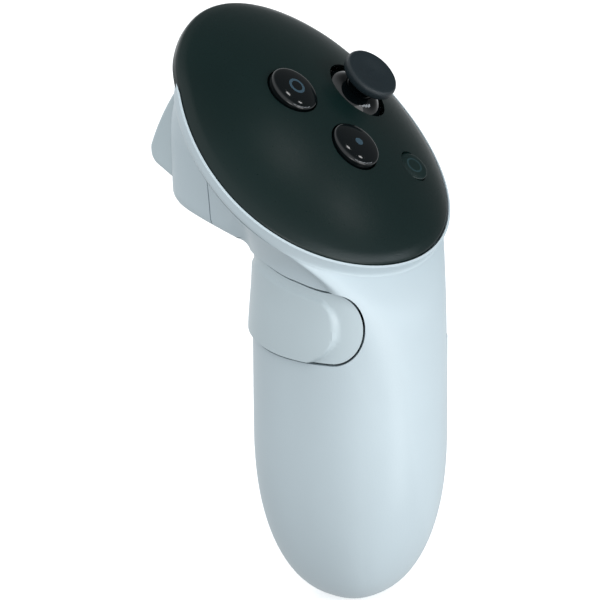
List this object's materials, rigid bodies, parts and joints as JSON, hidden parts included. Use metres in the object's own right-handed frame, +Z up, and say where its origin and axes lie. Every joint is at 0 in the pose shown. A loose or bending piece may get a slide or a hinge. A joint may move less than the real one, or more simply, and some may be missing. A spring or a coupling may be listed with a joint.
{
  "type": "vr motion controller",
  "caption": "Right-hand motion controller: rounded handle under a tilted domed face with a thumbstick and push buttons, an index trigger ahead and a grip button on the side.",
  "frame": {"origin": "the middle of the small flat under the handle, on the handle's axis", "axes": "+Z up along the handle, +Y forward, the way the trigger faces, +X to the user's right"},
  "size_m": [0.068, 0.0678, 0.1262],
  "materials": {
    "shell": "fine satin moulded plastic, cool grey white",
    "control_white": "satin moulded plastic, slightly smoother than the shell",
    "face": "matte black with a cool tint, very fine texture",
    "face_button": "matte black, flush with the face",
    "gloss_black": "polished black",
    "stick_rubber": "soft-touch black rubber",
    "inner_plastic": "dark moulded plastic",
    "silicone": "translucent grey silicone",
    "steel": "plain pressed or ground steel",
    "spring_steel": "drawn spring wire",
    "screw_steel": "zinc-plated screw",
    "magnet": "nickel-plated magnet",
    "circuit_board": "green solder resist",
    "cell_wrap": "plain printed film around the cell, no lettering"
  },
  "bodies": {
    "handle": {"handle_shell": "shell", "front_housing": "shell", "face_plate": "face", "stick_housing": "steel", "pitch_sensor": "inner_plastic", "roll_sensor": "inner_plastic", "click_switch": "inner_plastic", "upper_switch_dome": "silicone", "lower_switch_dome": "silicone", "system_switch_dome": "silicone", "board_connector": "inner_plastic", "radio_shield": "steel", "tracking_lights": "inner_plastic", "board_screw_1": "screw_steel", "board_screw_2": "screw_steel", "board_screw_3": "screw_steel", "board_screw_4": "screw_steel", "button_board": "circuit_board", "main_board": "circuit_board", "trigger_pin": "steel", "trigger_bracket": "inner_plastic", "trigger_sensor": "inner_plastic", "trigger_spring": "spring_steel", "bracket_screw_left": "screw_steel", "bracket_screw_right": "screw_steel", "grip_pin": "steel", "grip_sensor_board": "circuit_board", "grip_spring": "spring_steel", "battery_cell": "cell_wrap", "battery_tray": "inner_plastic", "battery_spring": "spring_steel", "battery_contact": "steel", "haptic_motor": "steel", "strap_bar": "steel"},
    "trigger": {"trigger": "control_white", "trigger_magnet": "magnet"},
    "grip": {"grip_button": "control_white", "grip_magnet": "magnet"},
    "battery_door": {"battery_door": "shell"},
    "upper_button": {"upper_button": "gloss_black"},
    "lower_button": {"lower_button": "gloss_black"},
    "system_button": {"system_button": "face_button"},
    "stick_pitch": {"stick_pitch_yoke": "inner_plastic"},
    "stick_roll": {"stick_cross_pin": "steel"},
    "stick": {"thumbstick_cap": "stick_rubber", "thumbstick_skirt": "gloss_black", "thumbstick_stem": "gloss_black"},
    "roll_yoke": {"stick_roll_yoke": "inner_plastic"}
  },
  "joints": [
    {"name": "trigger_pull", "type": "hinge", "parent": "handle", "child": "trigger", "pos_m": [0, 0.0315, 0.1125], "axis": [-1, 0, 0], "range_deg": [0, 12], "stiffness_Nm_per_rad": 0.08, "springref_deg": -5.73, "deforming": ["trigger_spring"]},
    {"name": "grip_squeeze", "type": "hinge", "parent": "handle", "child": "grip", "pos_m": [-0.0113, -0.0102, 0.063], "axis": [0, 0, -1], "range_deg": [0, 6], "stiffness_Nm_per_rad": 0.2, "springref_deg": -3.44, "deforming": ["grip_spring"]},
    {"name": "battery_door_pull", "type": "slide", "parent": "handle", "child": "battery_door", "axis": [1, 0, 0], "range_m": [0, 0.02]},
    {"name": "upper_button_press", "type": "slide", "parent": "handle", "child": "upper_button", "axis": [0, 0.7193, -0.6947], "range_m": [0, 0.0012], "stiffness_N_per_m": 500, "springref_m": -0.0004},
    {"name": "lower_button_press", "type": "slide", "parent": "handle", "child": "lower_button", "axis": [0, 0.7193, -0.6947], "range_m": [0, 0.0012], "stiffness_N_per_m": 500, "springref_m": -0.0004},
    {"name": "system_button_press", "type": "slide", "parent": "handle", "child": "system_button", "axis": [0, 0.7193, -0.6947], "range_m": [0, 0.0004], "stiffness_N_per_m": 1500, "springref_m": -0.0002},
    {"name": "stick_fore_aft", "type": "hinge", "parent": "handle", "child": "stick_pitch", "pos_m": [0.0142, 0.01509, 0.10243], "axis": [1, 0, 0], "range_deg": [-14, 14], "stiffness_Nm_per_rad": 0.05},
    {"name": "stick_side_to_side", "type": "hinge", "parent": "stick_pitch", "child": "stick_roll", "pos_m": [0.0142, 0.01509, 0.10243], "axis": [0, 0.6947, 0.7193], "range_deg": [-14, 14], "stiffness_Nm_per_rad": 0.05},
    {"name": "stick_click", "type": "slide", "parent": "stick_roll", "child": "stick", "axis": [0, 0.7193, -0.6947], "range_m": [0, 0.0004], "stiffness_N_per_m": 4000, "springref_m": -0.0003},
    {"name": "roll_yoke_turn", "type": "hinge", "parent": "handle", "child": "roll_yoke", "pos_m": [0.0142, 0.01509, 0.10243], "axis": [0, 0.6947, 0.7193], "range_deg": [-14, 14]}
  ],
  "couplings": [
    {"joint": "roll_yoke_turn", "follows": "stick_side_to_side", "ratio": 1}
  ]
}
